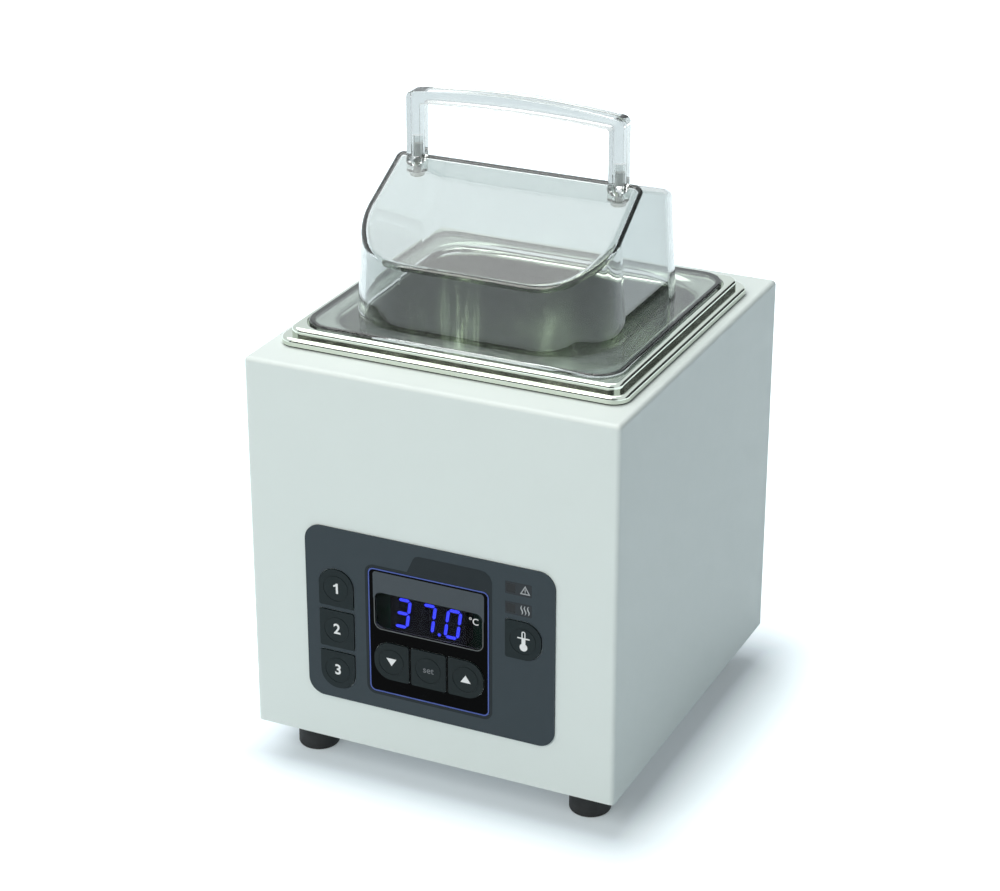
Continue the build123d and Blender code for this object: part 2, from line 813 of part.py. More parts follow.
def make_control_board():
    """Glass-fibre board with the processor, behind the panel."""
    z = board_base + board_height / 2
    rear = board_front_y + board_thickness
    board = facing(0, z, rear, Rectangle(board_width, board_height), board_thickness)
    for x, spot_z in board_spots:
        board -= rod(x, spot_z, board_front_y - 1, board_screw_radius + screw_clearance, board_thickness + 2)
    board += block(chip_x, rear + chip_height / 2, z, chip_size, chip_height, chip_size)
    board += block(0, rear + ribbon_socket_depth / 2, board_base + board_stud_spare,
                   ribbon_socket_width, ribbon_socket_depth, ribbon_socket_height)
    return board


def make_board_spacers():
    return group(rod(x, z, front_y + sheet, board_spacer_radius, board_gap)
                 - rod(x, z, front_y, board_screw_radius + thread_fit, board_gap + 3 * sheet)
                 for x, z in board_spots)


def make_board_nuts():
    """Small nuts on the panel studs, behind the board."""
    rear = board_front_y + board_thickness
    nuts = []
    for x, z in board_spots:
        nut = facing(x, z, rear + board_nut_height, RegularPolygon(board_nut_radius, 6), board_nut_height)
        nuts.append(nut - rod(x, z, rear - cut_over, board_screw_radius + thread_fit,
                              board_nut_height + 2 * cut_over))
    return group(nuts)


def make_display():
    """Three-digit lamp module."""
    outline = Rectangle(display_width, display_height)
    return facing(display_x, display_z, board_front_y, outline, display_depth)


# Segments of a digit that light for each figure shown, named clockwise from the top
segments_of = {"3": "abcdg", "7": "abc", "0": "abcdef"}
shown = "370"


def segment(name, x):
    """One slanted bar of a seven-segment digit, centred on x."""
    half_w = digit_width / 2 - segment_width / 2
    half_h = digit_height / 2 - segment_width / 2
    long_run = half_h - 2 * segment_gap
    flat_run = 2 * half_w - 2 * segment_gap
    places = {
        "a": (0, half_h, flat_run, True), "g": (0, 0, flat_run, True), "d": (0, -half_h, flat_run, True),
        "b": (half_w, half_h / 2, long_run, False), "c": (half_w, -half_h / 2, long_run, False),
        "f": (-half_w, half_h / 2, long_run, False), "e": (-half_w, -half_h / 2, long_run, False),
    }
    u, v, run, flat = places[name]
    tip = segment_width / 2
    bar = [(-run / 2, 0), (-run / 2 + tip, tip), (run / 2 - tip, tip), (run / 2, 0),
           (run / 2 - tip, -tip), (-run / 2 + tip, -tip)]
    lean = math.tan(math.radians(digit_slant))
    corners = []
    for along, across in bar:
        du, dv = (along, across) if flat else (across, along)
        corners.append((u + du + (v + dv) * lean, v + dv))
    outline = make_face(Polyline(corners, close=True))
    face_y = board_front_y - display_depth
    return facing(x, display_z, face_y, outline, segment_thickness)


def make_segments(lit):
    """The bars that glow, or the ones that stay dark."""
    bars = []
    for number, figure in enumerate(shown):
        x = display_x + (number - 1) * digit_pitch
        for name in "abcdefg":
            if (name in segments_of[figure]) == lit:
                bars.append(segment(name, x))
    if lit:
        dot_x = display_x + digit_pitch / 2 - dot_inset
        face_y = board_front_y - display_depth
        bars.append(facing(dot_x, display_z - digit_height / 2 + segment_width / 2, face_y,
                           Circle(segment_width / 2), segment_thickness))
    return group(bars)


def gable(grow, reach):
    """The lid's side outline, with both slopes run out past the upright walls, as a face."""
    front_slope = (dome_height - skirt_height) / dome_ridge_from_front
    rear_slope = (dome_height - eave_height) / (dome_rear_y - ridge_y)
    front = dome_front_y - reach
    rear = dome_rear_y + reach
    points = [
        (front, lid_top - reach),
        (front, lid_top + skirt_height - front_slope * reach),
        (ridge_y, ridge_z),
        (rear, lid_top + eave_height - rear_slope * reach),
        (rear, lid_top - reach),
    ]
    face = Plane.YZ * make_face(Polyline(points, close=True))
    if grow:
        face = offset(face, amount=grow, kind=Kind.INTERSECTION)
    return face


def dome_shape(shrink, reach):
    """The lid's raised shape, or the hollow that lies one wall inside it."""
    width = dome_width - 2 * shrink
    depth = dome_depth - 2 * shrink
    lift = dome_height + dome_spare
    tower = slab(0, dome_y, lid_top - reach, width, depth, lift + reach,
                 dome_corner_radius - shrink, dome_draft)
    roof = extrude(gable(-shrink, 2 * lid_thickness + lid_lip), amount=dome_width, both=True)
    return tower & roof


handle_foot_z = ridge_z - 2 * handle_corner_radius - handle_boss_radius
handle_x = handle_width / 2 - handle_post_width / 2


def handle_body():
    """The arched bar on its two posts, before its feet are cut to the ridge."""
    half = handle_width / 2
    inner = half - handle_post_width
    foot = handle_foot_z
    shoulder = handle_top - handle_crown
    under = shoulder - handle_bar_end
    outline = [
        Line((-half, foot), (-half, shoulder)),
        ThreePointArc((-half, shoulder), (0, handle_top), (half, shoulder)),
        Line((half, shoulder), (half, foot)),
        Line((half, foot), (inner, foot)),
        Line((inner, foot), (inner, under)),
        ThreePointArc((inner, under), (0, under + handle_bar_arch), (-inner, under)),
        Line((-inner, under), (-inner, foot)),
        Line((-inner, foot), (-half, foot)),
    ]
    face = make_face(outline)
    outer = [v for v in face.vertices() if abs(v.Y - shoulder) < 0.01]
    face = fillet(outer, handle_corner_radius)
    inside = [v for v in face.vertices() if abs(v.Y - under) < 0.01 and abs(abs(v.X) - inner) < 0.01]
    face = fillet(inside, handle_corner_radius / 2)
    wall = Plane(origin=(0, ridge_y + handle_post_depth / 2, 0), x_dir=(1, 0, 0), z_dir=(0, -1, 0))
    body = extrude(wall * face, amount=handle_post_depth)
    sides = body.faces().sort_by(Axis.Y)
    return fillet(sides[0].edges() + sides[-1].edges(), handle_edge_radius)


def make_lid():
    """One clear moulding: a flat flange with a turned edge, and the raised gable."""
    flange = slab(0, rim_y, ledge_z, lid_width, lid_depth, lid_thickness + lid_lip,
                  recess_corner_radius - lid_fit)
    flange = fillet(flange.faces().sort_by(Axis.Z)[-1].edges(), lid_edge_radius)
    flange -= slab(0, rim_y, ledge_z - 1, lid_width - 2 * lid_lip_band, lid_depth - 2 * lid_lip_band,
                   lid_lip + 1, recess_corner_radius - lid_lip_band)
    outer = soften_dome(dome_shape(0.0, 0.0), dome_edge_radius)
    inner = dome_shape(lid_thickness, 2 * (lid_thickness + lid_lip))
    inner = soften_dome(inner, dome_edge_radius - lid_thickness)
    boss_z = ridge_z - handle_boss_drop
    for side in (-1, 1):
        inner -= post(side * handle_x, ridge_y, boss_z, handle_boss_radius, 2 * handle_boss_drop)
    lid = flange + outer
    lid -= inner
    for side in (-1, 1):
        lid -= post(side * handle_x, ridge_y, ridge_z - 2 * handle_boss_drop,
                    handle_screw_radius + screw_clearance, 4 * handle_boss_drop)
    return lid


def soften_dome(shape, radius):
    """Rounds the ridge, the bends and the edges where the slopes meet the side walls."""
    edges = []
    for edge in shape.edges():
        size = edge.bounding_box().size
        upright = size.Z > skirt_height / 2 and max(size.X, size.Y) < dome_edge_radius
        if edge.center().Z > lid_top + dome_edge_radius and not upright:
            edges.append(edge)
    return fillet(edges, radius)


def make_handle():
    """Clear handle whose feet stand on the ridge, bored for its screws."""
    body = handle_body() - soften_dome(dome_shape(0.0, 0.0), dome_edge_radius)
    for side in (-1, 1):
        body -= post(side * handle_x, ridge_y, handle_foot_z, handle_screw_radius + thread_fit,
                     ridge_z + handle_bore_depth - handle_foot_z)
    return body


def make_handle_screws():
    """Screws up through the bosses under the ridge into the posts."""
    return group(
        screw_up(side * handle_x, ridge_y, ridge_z - handle_boss_drop, handle_screw_radius,
                 2 * handle_screw_radius, 2.4, handle_screw_length)
        for side in (-1, 1))


inlet_z = case_base + inlet_base + inlet_flange_height / 2
socket_z = case_base + inlet_base + socket_lift + socket_height / 2
drawer_z = case_base + inlet_base + drawer_lift + drawer_height / 2
inlet_face_y = rear_y + inlet_flange_thickness


def make_inlet():
    """Moulded mains inlet with a socket and, over it, the place for the fuse drawer."""
    flange = facing(inlet_x, inlet_z, inlet_face_y, RectangleRounded(
        inlet_flange_width, inlet_flange_height, inlet_corner_radius), inlet_flange_thickness)
    flange = fillet(flange.faces().sort_by(Axis.Y)[-1].edges(), inlet_edge_radius)
    body = block(inlet_x, rear_y - inlet_body_depth / 2, inlet_z - inlet_body_height / 2,
                 inlet_body_width, inlet_body_depth, inlet_body_height)
    shape = flange + body
    socket = RectangleRounded(socket_width, socket_height, socket_corner_radius)
    shape -= facing(inlet_x, socket_z, inlet_face_y + cut_over, socket, socket_depth + cut_over)
    room_y = inlet_face_y - (drawer_depth + drawer_gap) / 2 + cut_over
    room_low = drawer_z - drawer_height / 2 - drawer_gap
    shape -= block(inlet_x, room_y, room_low, drawer_width + 2 * drawer_gap,
                   drawer_depth + drawer_gap + 2 * cut_over, drawer_height + 2 * drawer_gap)
    return shape


def make_inlet_pins():
    """Three blades in the socket, with their tabs behind."""
    pins = []
    back = inlet_face_y - socket_depth
    tab_y = rear_y - inlet_body_depth - tab_length / 2
    for x, lift in ((-pin_pitch / 2, -pin_stagger), (pin_pitch / 2, -pin_stagger), (0.0, pin_stagger)):
        z = socket_z + lift
        blade = facing(inlet_x + x, z, back + pin_length, Rectangle(pin_width, pin_height), pin_length)
        tab = block(inlet_x + x, tab_y, z - tab_width / 2, tab_thickness, tab_length, tab_width)
        pins.append(blade)
        pins.append(tab)
    return group(pins)


def make_drawer():
    """Sliding fuse drawer with a finger lip."""
    depth = drawer_depth + drawer_lip
    low = drawer_z - drawer_height / 2
    drawer = block(inlet_x, inlet_face_y + drawer_lip - depth / 2, low, drawer_width, depth, drawer_height)
    lip_edges = drawer.faces().sort_by(Axis.Y)[-1].edges()
    drawer = fillet(lip_edges, drawer_edge_radius)
    pocket_y = inlet_face_y - drawer_depth / 2
    drawer -= block(inlet_x, pocket_y, low + drawer_wall, fuse_length + 2 * drawer_gap,
                    2 * (fuse_radius + drawer_gap), drawer_height)
    drawer -= block(inlet_x, inlet_face_y + drawer_lip, low - cut_over, drawer_notch,
                    drawer_lip, drawer_wall + cut_over)
    return drawer


def make_fuse():
    """Glass cartridge fuse in the drawer."""
    y = inlet_face_y - drawer_depth / 2
    z = drawer_z - drawer_height / 2 + drawer_wall + fuse_radius + thread_fit
    return Pos(inlet_x, y, z) * Rot(0, 90, 0) * Cylinder(fuse_radius, fuse_length)


rocker_z = case_base + rocker_base
bezel_face_y = rear_y + bezel_thickness
pivot_y = bezel_face_y - rocker_pivot_depth


def make_switch():
    """Snap-in switch body that carries the rocker on a pin."""
    outline = RectangleRounded(bezel_width, bezel_height, bezel_corner_radius)
    flange = facing(rocker_x, rocker_z, bezel_face_y, outline, bezel_thickness)
    flange = fillet(flange.faces().sort_by(Axis.Y)[-1].edges(), bezel_edge_radius)
    body_width = bezel_width - 2 * bezel_lip
    body_height = bezel_height - 2 * bezel_lip
    body = block(rocker_x, rear_y - bezel_depth / 2, rocker_z - body_height / 2,
                 body_width, bezel_depth, body_height)
    shape = flange + body
    room = rocker_radius + rocker_gap
    floor_y = pivot_y - rocker_floor - rocker_room
    reach = bezel_face_y + cut_over - floor_y
    shape -= block(rocker_x, floor_y + reach / 2, rocker_z - room,
                   rocker_width + 2 * rocker_gap, reach, 2 * room)
    pin_span = (rocker_width + 2 * rocker_gap + body_width) / 2
    shape += Pos(rocker_x, pivot_y, rocker_z) * Rot(0, 90, 0) * Cylinder(rocker_pin_radius, pin_span)
    for side in (-1, 1):
        x = rocker_x + side * switch_tab_pitch / 2
        shape += block(x, rear_y - bezel_depth - tab_length / 2, rocker_z - tab_width / 2,
                       tab_thickness, tab_length, tab_width)
    return shape


def make_rocker():
    """Rocker cap, resting in its off position."""
    end = rocker_radius + rocker_overlap
    profile = [
        (rocker_edge_rise, -end),
        (rocker_middle_rise, 0),
        (rocker_edge_rise, end),
        (-rocker_floor, end),
        (-rocker_floor, -end),
    ]
    side = Plane.YZ * make_face(Polyline(profile, close=True))
    cap = extrude(side, amount=rocker_width / 2, both=True)
    cap &= Rot(0, 90, 0) * Cylinder(rocker_radius, rocker_width)
    cap -= Rot(0, 90, 0) * Cylinder(rocker_pin_radius + thread_fit, 2 * rocker_width)
    return Pos(rocker_x, pivot_y, rocker_z) * Rot(-rocker_tilt, 0, 0) * cap


def make_power_board():
    """Mains board on its spacers over the base plate."""
    board = block(0, power_y, power_base, power_board_width, power_board_depth, board_thickness)
    for x, y in power_spots:
        board -= post(x, y, power_base - 1, board_screw_radius + screw_clearance, board_thickness + 2)
    return board


power_top = power_base + board_thickness


def make_transformer():
    """Encapsulated board transformer."""
    body = block(transformer_x, power_y + transformer_shift, power_top,
                 transformer_width, transformer_depth, transformer_height)
    return fillet(body.edges().filter_by(Axis.Z), transformer_edge_radius)


def make_relay():
    """Heater relay."""
    return block(relay_x, power_y + relay_shift, power_top, relay_width, relay_depth, relay_height)


def make_terminals():
    """Screw terminal block at the rear edge of the board."""
    y = power_y - power_board_depth / 2 + terminal_depth
    body = block(terminal_x, y, power_top, terminal_width, terminal_depth, terminal_height)
    mouth = 2 * terminal_hole_radius
    for number in range(terminal_count):
        x = terminal_x + (number - (terminal_count - 1) / 2) * terminal_pitch
        body -= post(x, y, power_top + terminal_height - terminal_hole_depth, terminal_hole_radius,
                     terminal_hole_depth + cut_over)
        body -= block(x, y - terminal_depth / 2, power_top + terminal_hole_radius, mouth, mouth, mouth)
    return body


def make_power_spacers():
    return group(post(x, y, floor_top, power_spacer_radius, power_spacer_height)
                 - post(x, y, floor_top - 1, board_screw_radius + thread_fit, power_spacer_height + 2)
                 for x, y in power_spots)


def make_power_screws():
    """Screws from above through the board and spacers."""
    screws = []
    for x, y in power_spots:
        head = post(x, y, power_top, power_head_radius, power_head_height)
        screws.append(head + post(x, y, case_base + sheet, board_screw_radius, power_top - case_base - sheet))
    return group(screws)


def make_base_screws():
    """Screws up through the bottom flanges into the base plate."""
    return group(screw_up(x, y, case_base, screw_radius, screw_head_radius, screw_head_height, screw_length)
                 for x, y in base_screw_spots)


def make_rear_screws():
    """Screws that hold the rear panel."""
    screws = []
    for x, z in rear_screw_spots:
        head = facing(x, z, rear_y + screw_head_height, Circle(screw_head_radius), screw_head_height)
        head = fillet(head.faces().sort_by(Axis.Y)[-1].edges(), screw_head_height / 2.2)
        socket = RegularPolygon(screw_head_radius / 2.2, 6)
        head -= facing(x, z, rear_y + screw_head_height + cut_over, socket, cut_over + screw_head_height / 2)
        screws.append(head + rod(x, z, rear_y - screw_length, screw_radius, screw_length))
    return group(screws)


def make_foot_screws():
    """Screws up through the feet."""
    return group(screw_up(x, y, foot_counterbore_depth, foot_screw_radius, foot_screw_head_radius,
                          foot_screw_head_height, floor_top + nut_height + 1 - foot_counterbore_depth)
                 for x, y in foot_spots.values())


def make_foot_nuts():
    return group(nut_at(x, y, floor_top, nut_radius, foot_screw_radius + thread_fit, nut_height)
                 for x, y in foot_spots.values())


def make_earth_nut():
    """Washer and nut on the earth stud."""
    nut = post(earth_x, earth_y, floor_top, washer_radius, washer_height)
    bore = earth_stud_radius + thread_fit
    nut += nut_at(earth_x, earth_y, floor_top + washer_height, nut_radius, bore, nut_height)
    return nut - post(earth_x, earth_y, floor_top - cut_over, bore, earth_stud_height)


pieces = {
    "outer_casing": make_casing(),
    "rear_panel": make_rear_panel(),
    "base_plate": make_base_plate(),
    "tank": make_tank(),
    "rim_gasket": make_gasket(),
    "rim_nuts": make_rim_nuts(),
    "insulation_jacket": make_jacket(),
    "heater_pad": make_heater(),
    "heater_clamp_plate": make_clamp_plate(),
    "heater_nuts": make_heater_nuts(),
    "overheat_cutout": make_cutout(),
    "temperature_probe": make_probe(),
    "probe_clip": make_probe_clip(),
    "panel_overlay": make_overlay(),
    "screen_panel": make_screen(),
    "display_window": make_window(),
    "display_module": make_display(),
    "display_bars_lit": make_segments(True),
    "display_bars_dark": make_segments(False),
    "control_board": make_control_board(),
    "board_spacers": make_board_spacers(),
    "board_nuts": make_board_nuts(),
    "key_switches": make_key_switches(),
    "lid": make_lid(),
    "lid_handle": make_handle(),
    "handle_screws": make_handle_screws(),
    "mains_inlet": make_inlet(),
    "inlet_pins": make_inlet_pins(),
    "fuse_drawer": make_drawer(),
    "fuse": make_fuse(),
    "power_switch": make_switch(),
    "switch_rocker": make_rocker(),
    "power_board": make_power_board(),
    "transformer": make_transformer(),
    "heater_relay": make_relay(),
    "terminal_block": make_terminals(),
    "power_board_spacers": make_power_spacers(),
    "power_board_screws": make_power_screws(),
    "base_screws": make_base_screws(),
    "rear_screws": make_rear_screws(),
    "foot_screws": make_foot_screws(),
    "foot_nuts": make_foot_nuts(),
    "earth_nut": make_earth_nut(),
}
for name in foot_places:
    pieces["foot_" + name] = make_foot(name)
for name in key_layout:
    pieces[name] = make_key(name)
for name in lamp_spots:
    pieces[name] = make_lamp(name)

for name, shape in pieces.items():
    export_step(shape, "parts/" + name + ".step")
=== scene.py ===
import json
import math

import bpy
from mathutils import Matrix, Vector

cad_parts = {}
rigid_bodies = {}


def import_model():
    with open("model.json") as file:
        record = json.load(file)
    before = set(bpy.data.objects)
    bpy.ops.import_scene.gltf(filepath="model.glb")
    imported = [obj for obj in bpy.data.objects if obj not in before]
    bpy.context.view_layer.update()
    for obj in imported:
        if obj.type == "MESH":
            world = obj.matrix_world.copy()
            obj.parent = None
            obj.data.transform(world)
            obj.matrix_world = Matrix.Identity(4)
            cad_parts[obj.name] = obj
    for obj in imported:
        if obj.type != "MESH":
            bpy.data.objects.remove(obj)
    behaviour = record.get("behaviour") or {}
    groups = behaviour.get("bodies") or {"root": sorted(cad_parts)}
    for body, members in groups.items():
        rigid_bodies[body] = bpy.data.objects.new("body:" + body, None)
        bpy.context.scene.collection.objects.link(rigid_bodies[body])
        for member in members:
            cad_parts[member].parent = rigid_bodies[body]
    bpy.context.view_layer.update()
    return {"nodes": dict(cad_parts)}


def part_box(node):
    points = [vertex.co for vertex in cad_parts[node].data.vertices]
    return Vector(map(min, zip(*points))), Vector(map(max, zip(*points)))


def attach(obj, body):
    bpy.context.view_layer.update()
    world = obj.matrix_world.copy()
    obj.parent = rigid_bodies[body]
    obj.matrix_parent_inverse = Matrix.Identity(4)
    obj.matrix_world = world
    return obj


for leftover in list(bpy.data.objects):
    bpy.data.objects.remove(leftover)
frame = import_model()
scene = bpy.context.scene
node = frame["nodes"]

# Studio: a long lens looks down from the right. The table is a wide white sheet under two soft
# boxes, and the room is white wherever the lens, steel or clear plastic sees it. The table's glow
# is painted light, kept faint round the case's foot, where it paints a contact shadow. Clear
# plastic sees a greyer table, so that its walls stand out.
look_down, look_left = math.radians(24.23), math.radians(25.2)
lens = bpy.data.cameras.new("view")
lens.sensor_width = 36.0
lens.lens = 94.45
eye = bpy.data.objects.new("view", lens)
eye.location = (0.4743, -1.0315, 0.6491)
eye.rotation_euler = (math.pi / 2 - look_down, 0.0, look_left)
scene.collection.objects.link(eye)
scene.camera = eye
scene.view_settings.view_transform = "Standard"


def seen_rays(tree, through=1.0):
    """A value that is 1 for what the lens and steel see, through for what clear plastic sees, else 0."""
    path = tree.nodes.new("ShaderNodeLightPath")
    total = path.outputs["Is Camera Ray"]
    for ray in ("Is Glossy Ray", "Is Transmission Ray"):
        either = tree.nodes.new("ShaderNodeMath")
        either.operation = "MAXIMUM"
        tree.links.new(total, either.inputs[0])
        tree.links.new(path.outputs[ray], either.inputs[1])
        total = either.outputs[0]
    dimmed = tree.nodes.new("ShaderNodeMath")
    dimmed.operation = "MULTIPLY_ADD"
    tree.links.new(path.outputs["Is Transmission Ray"], dimmed.inputs[0])
    dimmed.inputs[1].default_value = through - 1.0
    tree.links.new(total, dimmed.inputs[2])
    return dimmed.outputs[0]


fill_light = 0.22
room = bpy.data.worlds.new("studio_room")
room.use_nodes = True
scene.world = room
strength = room.node_tree.nodes.new("ShaderNodeMapRange")
strength.inputs["To Min"].default_value = fill_light
strength.inputs["To Max"].default_value = 1.0
room.node_tree.links.new(seen_rays(room.node_tree), strength.inputs["Value"])
air = room.node_tree.nodes["Background"]
air.inputs["Color"].default_value = (0.94, 1.0, 1.03, 1.0)
room.node_tree.links.new(strength.outputs["Result"], air.inputs["Strength"])

table_width = 9.0
table_through_plastic = 0.27
bpy.ops.mesh.primitive_plane_add(size=table_width, location=(0.0, 0.0, 0.0))
table = bpy.context.object
table.name = "studio_table"
sheet = bpy.data.materials.new("studio_table")
sheet.use_nodes = True
paper = sheet.node_tree.nodes["Principled BSDF"]
paper.inputs["Base Color"].default_value = (0.66, 0.73, 0.78, 1.0)
paper.inputs["Roughness"].default_value = 0.9
paper.inputs["Specular IOR Level"].default_value = 0.1
paper.inputs["Emission Color"].default_value = (0.90, 0.99, 1.0, 1.0)


def painted_table_light(tree):
    """Painted light on the sheet: faint by the case as a painted shadow, fuller farther out."""
    case_reach = (0.0915, 0.0970, 0.0)
    # Painted shadow: the glow is lowest at the case's footprint and full a few centimetres out.
    painted_shadow_reach, painted_shadow_levels = (0.0, 0.045), (0.20, 0.90)
    sheet_reach, sheet_levels = (0.4, 3.0), (0.0, 0.10)
    nodes, link = tree.nodes, tree.links.new
    away = nodes.new("ShaderNodeTexCoord").outputs["Object"]
    for step, value in (("ABSOLUTE", None), ("SUBTRACT", case_reach), ("MAXIMUM", (0.0, 0.0, 0.0))):
        move = nodes.new("ShaderNodeVectorMath")
        move.operation = step
        link(away, move.inputs[0])
        if value:
            move.inputs[1].default_value = value
        away = move.outputs["Vector"]
    far = nodes.new("ShaderNodeVectorMath")
    far.operation = "LENGTH"
    link(away, far.inputs[0])
    total = nodes.new("ShaderNodeMath")
    for place, (reach, levels) in enumerate(((painted_shadow_reach, painted_shadow_levels), (sheet_reach, sheet_levels))):
        glow = nodes.new("ShaderNodeMapRange")
        link(far.outputs["Value"], glow.inputs["Value"])
        glow.inputs["From Min"].default_value, glow.inputs["From Max"].default_value = reach
        glow.inputs["To Min"].default_value, glow.inputs["To Max"].default_value = levels
        link(glow.outputs["Result"], total.inputs[place])
    return total.outputs[0]


lift = sheet.node_tree.nodes.new("ShaderNodeMath")
lift.operation = "MULTIPLY"
sheet.node_tree.links.new(seen_rays(sheet.node_tree, through=table_through_plastic), lift.inputs[0])
sheet.node_tree.links.new(painted_table_light(sheet.node_tree), lift.inputs[1])
sheet.node_tree.links.new(lift.outputs[0], paper.inputs["Emission Strength"])
table.data.materials.append(sheet)


def soft_box(name, place, aim, size, watts, tint=(1.0, 1.0, 1.0)):
    """A square studio lamp at place that points at aim."""
    lamp = bpy.data.lights.new(name, "AREA")
    lamp.size = size
    lamp.energy = watts
    lamp.color = tint
    stand = bpy.data.objects.new(name, lamp)
    stand.location = place
    stand.rotation_euler = (Vector(aim) - Vector(place)).to_track_quat("-Z", "Y").to_euler()
    scene.collection.objects.link(stand)


soft_box("front_left_box", place=(-0.8, -3.1, 2.6), aim=(0.0, 0.0, 0.12), size=2.4, watts=86.0,
         tint=(1.0, 0.97, 0.92))
soft_box("overhead_box", place=(-1.2, 0.6, 3.4), aim=(-0.2, 0.4, 0.15), size=3.4, watts=100.0)


def dark_flag(name, place, size, turn, tone):
    """A dark upright card that only polished pieces see, so that their bends read."""
    bpy.ops.mesh.primitive_plane_add(size=1.0, location=place, rotation=(math.pi / 2, 0.0, turn))
    card = bpy.context.object
    card.name = name
    card.scale = (size[0], size[1], 1.0)
    felt = bpy.data.materials.new(name)
    felt.use_nodes = True
    cover = felt.node_tree.nodes["Principled BSDF"]
    cover.inputs["Base Color"].default_value = (tone, tone, tone, 1.0)
    cover.inputs["Roughness"].default_value = 1.0
    card.data.materials.append(felt)
    for kind in ("visible_camera", "visible_diffuse", "visible_transmission", "visible_shadow",
                 "visible_volume_scatter"):
        setattr(card, kind, False)


dark_flag("rear_right_flag", place=(2.2, 2.0, 0.9), size=(3.4, 1.9), turn=math.radians(-48), tone=0.05)
dark_flag("front_low_flag", place=(0.2, -2.6, 0.95), size=(5.4, 1.9), turn=0.0, tone=0.04)

# Case: zinc-coated sheet, folded, welded and powder-coated pale grey with a fine even peel.
# The rear cover has the same coat. Every finish below starts from this same grain.
surface_grain = bpy.data.node_groups.new("surface_grain", "ShaderNodeTree")
for title, kind, value in (
    ("Tone", "NodeSocketColor", (0.8, 0.8, 0.8, 1.0)),
    ("Shade", "NodeSocketColor", (0.7, 0.7, 0.7, 1.0)),
    ("Smooth", "NodeSocketFloat", 0.3),
    ("Rough", "NodeSocketFloat", 0.5),
    ("Scale", "NodeSocketFloat", 900.0),
    ("Stretch", "NodeSocketVector", (1.0, 1.0, 1.0)),
):
    entry = surface_grain.interface.new_socket(title, in_out="INPUT", socket_type=kind)
    entry.default_value = value
for title, kind in (
    ("Color", "NodeSocketColor"),
    ("Roughness", "NodeSocketFloat"),
    ("Height", "NodeSocketFloat"),
):
    surface_grain.interface.new_socket(title, in_out="OUTPUT", socket_type=kind)


def grain_nodes(tree):
    """Slow cloudy tone, quicker patches of gloss, and a fine relief, all on the piece's own place."""
    nodes, link = tree.nodes, tree.links.new
    given = nodes.new("NodeGroupInput")
    out = nodes.new("NodeGroupOutput")
    place = nodes.new("ShaderNodeTexCoord")
    stretch = nodes.new("ShaderNodeVectorMath")
    stretch.operation = "MULTIPLY"
    link(place.outputs["Object"], stretch.inputs[0])
    link(given.outputs["Stretch"], stretch.inputs[1])
    clouds = nodes.new("ShaderNodeTexNoise")
    clouds.inputs["Scale"].default_value = 18.0
    clouds.inputs["Detail"].default_value = 3.0
    link(place.outputs["Object"], clouds.inputs["Vector"])
    tone = nodes.new("ShaderNodeMix")
    tone.data_type = "RGBA"
    link(clouds.outputs["Fac"], tone.inputs["Factor"])
    link(given.outputs["Tone"], tone.inputs["A"])
    link(given.outputs["Shade"], tone.inputs["B"])
    link(tone.outputs["Result"], out.inputs["Color"])
    patches = nodes.new("ShaderNodeTexNoise")
    patches.inputs["Scale"].default_value = 160.0
    patches.inputs["Detail"].default_value = 4.0
    link(stretch.outputs[0], patches.inputs["Vector"])
    gloss = nodes.new("ShaderNodeMapRange")
    link(patches.outputs["Fac"], gloss.inputs["Value"])
    gloss.inputs["From Min"].default_value = 0.3
    gloss.inputs["From Max"].default_value = 0.7
    link(given.outputs["Smooth"], gloss.inputs["To Min"])
    link(given.outputs["Rough"], gloss.inputs["To Max"])
    link(gloss.outputs["Result"], out.inputs["Roughness"])
    relief = nodes.new("ShaderNodeTexNoise")
    relief.inputs["Detail"].default_value = 2.0
    link(stretch.outputs[0], relief.inputs["Vector"])
    link(given.outputs["Scale"], relief.inputs["Scale"])
    link(relief.outputs["Fac"], out.inputs["Height"])


grain_nodes(surface_grain)


def finish(name, tone, shade, gloss, scale, relief, stretch=(1.0, 1.0, 1.0), **sockets):
    """A material from the shared grain: two tones, a span of roughness, and a relief in metres."""
    mat = bpy.data.materials.new(name)
    mat.use_nodes = True
    nodes, link = mat.node_tree.nodes, mat.node_tree.links.new
    shader = nodes["Principled BSDF"]
    grain = nodes.new("ShaderNodeGroup")
    grain.node_tree = surface_grain
    grain.inputs["Tone"].default_value = (*tone, 1.0)
    grain.inputs["Shade"].default_value = (*shade, 1.0)
    grain.inputs["Smooth"].default_value = gloss[0]
    grain.inputs["Rough"].default_value = gloss[1]
    grain.inputs["Scale"].default_value = scale
    grain.inputs["Stretch"].default_value = stretch
    bump = nodes.new("ShaderNodeBump")
    bump.inputs["Distance"].default_value = relief
    link(grain.outputs["Color"], shader.inputs["Base Color"])
    link(grain.outputs["Roughness"], shader.inputs["Roughness"])
    link(grain.outputs["Height"], bump.inputs["Height"])
    link(bump.outputs["Normal"], shader.inputs["Normal"])
    for title, value in sockets.items():
        shader.inputs[title.replace("_", " ")].default_value = value
    return mat


def dress(material, *names):
    """Gives these CAD pieces their finish."""
    for name in names:
        for place in node[name].material_slots:
            place.material = material


powder_coat = finish("powder_coat", (0.72, 0.79, 0.765), (0.70, 0.77, 0.745), gloss=(0.42, 0.52),
                     scale=1500.0, relief=0.00003)
dress(powder_coat, "outer_casing", "rear_panel")

# Base plate: galvanised sheet with its spangle left bare, inside the bottom flanges.
zinc_sheet = finish("zinc_sheet", (0.50, 0.52, 0.54), (0.40, 0.42, 0.45), gloss=(0.30, 0.50),
                    scale=420.0, relief=0.00001, Metallic=1.0)
dress(zinc_sheet, "base_plate")

# Feet: moulded black rubber, matt, with a fine skin, screwed up into the base plate.
foot_rubber = finish("foot_rubber", (0.012, 0.013, 0.014), (0.018, 0.019, 0.020),
                     gloss=(0.55, 0.75), scale=1400.0, relief=0.00004)
dress(foot_rubber, "foot_front_left", "foot_front_right", "foot_rear_left", "foot_rear_right")

